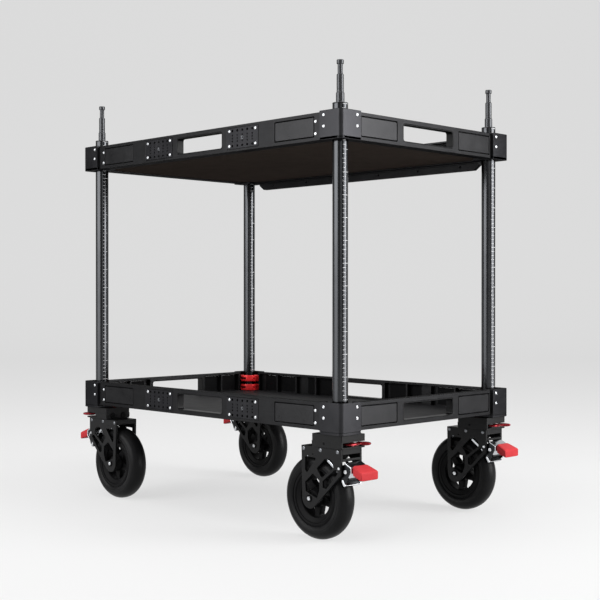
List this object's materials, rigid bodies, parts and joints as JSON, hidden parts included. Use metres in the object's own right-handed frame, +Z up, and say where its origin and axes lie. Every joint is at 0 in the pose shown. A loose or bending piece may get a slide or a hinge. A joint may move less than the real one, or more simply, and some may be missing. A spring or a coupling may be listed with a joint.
{
  "type": "camera cart",
  "caption": "Rolling camera cart: upper and lower tray decks on graduated posts with spigots, clamped deck height, and braked swivel casters.",
  "frame": {"origin": "on the floor, under the middle of the cart", "axes": "+X along the long side towards the right, +Y from the front to the rear, +Z up"},
  "size_m": [1.061, 0.618, 1.0685],
  "materials": {
    "black_anodised": "satin black anodised",
    "post_anodised": "smooth black anodised tube",
    "spigot_black": "satin black anodised",
    "cast_black": "fine black powder coat",
    "rim_black": "satin black",
    "shelf_board": "dark film-faced board",
    "red_anodised": "red anodised",
    "lever_red": "dark red anodised",
    "red_paint": "red powder coat",
    "bright_steel": "bright zinc",
    "tyre_rubber": "smooth black rubber"
  },
  "bodies": {
    "base": {"front_left_lower_corner": "black_anodised", "front_left_post_clamp": "red_anodised", "front_left_post": "post_anodised", "front_left_spigot": "spigot_black", "front_left_caster_head": "cast_black", "front_right_lower_corner": "black_anodised", "front_right_post_clamp": "red_anodised", "front_right_post": "post_anodised", "front_right_spigot": "spigot_black", "front_right_caster_head": "cast_black", "rear_right_lower_corner": "black_anodised", "rear_right_post_clamp": "red_anodised", "rear_right_post": "post_anodised", "rear_right_spigot": "spigot_black", "rear_right_caster_head": "cast_black", "rear_left_lower_corner": "black_anodised", "rear_left_post_clamp": "red_anodised", "rear_left_post": "post_anodised", "rear_left_spigot": "spigot_black", "rear_left_caster_head": "cast_black", "lower_front_rail": "black_anodised", "lower_right_rail": "black_anodised", "lower_rear_rail": "black_anodised", "lower_left_rail": "black_anodised", "lower_shelf": "shelf_board"},
    "top_deck": {"front_left_upper_corner": "black_anodised", "front_right_upper_corner": "black_anodised", "rear_right_upper_corner": "black_anodised", "rear_left_upper_corner": "black_anodised", "upper_front_rail": "black_anodised", "upper_right_rail": "black_anodised", "upper_rear_rail": "black_anodised", "upper_left_rail": "black_anodised", "upper_shelf": "shelf_board", "accessory_rail": "black_anodised"},
    "front_left_swivel": {"front_left_fork": "cast_black", "front_left_axle": "bright_steel"},
    "front_left_wheel": {"front_left_wheel_rim": "rim_black", "front_left_tyre": "tyre_rubber"},
    "front_left_brake": {"front_left_brake_pedal": "red_paint"},
    "front_left_lock": {"front_left_swivel_lock_lever": "lever_red"},
    "front_right_swivel": {"front_right_fork": "cast_black", "front_right_axle": "bright_steel"},
    "front_right_wheel": {"front_right_wheel_rim": "rim_black", "front_right_tyre": "tyre_rubber"},
    "front_right_brake": {"front_right_brake_pedal": "red_paint"},
    "front_right_lock": {"front_right_swivel_lock_lever": "lever_red"},
    "rear_right_swivel": {"rear_right_fork": "cast_black", "rear_right_axle": "bright_steel"},
    "rear_right_wheel": {"rear_right_wheel_rim": "rim_black", "rear_right_tyre": "tyre_rubber"},
    "rear_right_brake": {"rear_right_brake_pedal": "red_paint"},
    "rear_right_lock": {"rear_right_swivel_lock_lever": "lever_red"},
    "rear_left_swivel": {"rear_left_fork": "cast_black", "rear_left_axle": "bright_steel"},
    "rear_left_wheel": {"rear_left_wheel_rim": "rim_black", "rear_left_tyre": "tyre_rubber"},
    "rear_left_brake": {"rear_left_brake_pedal": "red_paint"},
    "rear_left_lock": {"rear_left_swivel_lock_lever": "lever_red"}
  },
  "joints": [
    {"name": "top_deck_height", "type": "slide", "parent": "base", "child": "top_deck", "axis": [0, 0, 1], "range_m": [-0.45, 0.015]},
    {"name": "front_left_swivel_turn", "type": "hinge", "parent": "base", "child": "front_left_swivel", "pos_m": [-0.4365, -0.2632, 0.208], "axis": [0, 0, 1], "continuous": true},
    {"name": "front_left_wheel_spin", "type": "hinge", "parent": "front_left_swivel", "child": "front_left_wheel", "pos_m": [-0.3795, -0.2632, 0.0955], "axis": [0, -1, 0], "continuous": true},
    {"name": "front_left_brake_press", "type": "hinge", "parent": "front_left_swivel", "child": "front_left_brake", "pos_m": [-0.4698, -0.2632, 0.1712], "axis": [0, -1, 0], "range_deg": [0, 9.5]},
    {"name": "front_left_swivel_lock", "type": "hinge", "parent": "base", "child": "front_left_lock", "pos_m": [-0.4365, -0.2632, 0.2222], "axis": [0, 0, 1], "range_deg": [0, 20]},
    {"name": "front_right_swivel_turn", "type": "hinge", "parent": "base", "child": "front_right_swivel", "pos_m": [0.4365, -0.2632, 0.208], "axis": [0, 0, 1], "continuous": true},
    {"name": "front_right_wheel_spin", "type": "hinge", "parent": "front_right_swivel", "child": "front_right_wheel", "pos_m": [0.3795, -0.2632, 0.0955], "axis": [0, 1, 0], "continuous": true},
    {"name": "front_right_brake_press", "type": "hinge", "parent": "front_right_swivel", "child": "front_right_brake", "pos_m": [0.4698, -0.2632, 0.1712], "axis": [0, 1, 0], "range_deg": [0, 9.5]},
    {"name": "front_right_swivel_lock", "type": "hinge", "parent": "base", "child": "front_right_lock", "pos_m": [0.4365, -0.2632, 0.2222], "axis": [0, 0, 1], "range_deg": [0, 20]},
    {"name": "rear_right_swivel_turn", "type": "hinge", "parent": "base", "child": "rear_right_swivel", "pos_m": [0.4365, 0.2632, 0.208], "axis": [0, 0, 1], "continuous": true},
    {"name": "rear_right_wheel_spin", "type": "hinge", "parent": "rear_right_swivel", "child": "rear_right_wheel", "pos_m": [0.3795, 0.2632, 0.0955], "axis": [0, 1, 0], "continuous": true},
    {"name": "rear_right_brake_press", "type": "hinge", "parent": "rear_right_swivel", "child": "rear_right_brake", "pos_m": [0.4698, 0.2632, 0.1712], "axis": [0, 1, 0], "range_deg": [0, 9.5]},
    {"name": "rear_right_swivel_lock", "type": "hinge", "parent": "base", "child": "rear_right_lock", "pos_m": [0.4365, 0.2632, 0.2222], "axis": [0, 0, 1], "range_deg": [0, 20]},
    {"name": "rear_left_swivel_turn", "type": "hinge", "parent": "base", "child": "rear_left_swivel", "pos_m": [-0.4365, 0.2632, 0.208], "axis": [0, 0, 1], "continuous": true},
    {"name": "rear_left_wheel_spin", "type": "hinge", "parent": "rear_left_swivel", "child": "rear_left_wheel", "pos_m": [-0.3795, 0.2632, 0.0955], "axis": [0, -1, 0], "continuous": true},
    {"name": "rear_left_brake_press", "type": "hinge", "parent": "rear_left_swivel", "child": "rear_left_brake", "pos_m": [-0.4698, 0.2632, 0.1712], "axis": [0, -1, 0], "range_deg": [0, 9.5]},
    {"name": "rear_left_swivel_lock", "type": "hinge", "parent": "base", "child": "rear_left_lock", "pos_m": [-0.4365, 0.2632, 0.2222], "axis": [0, 0, 1], "range_deg": [0, 20]}
  ]
}
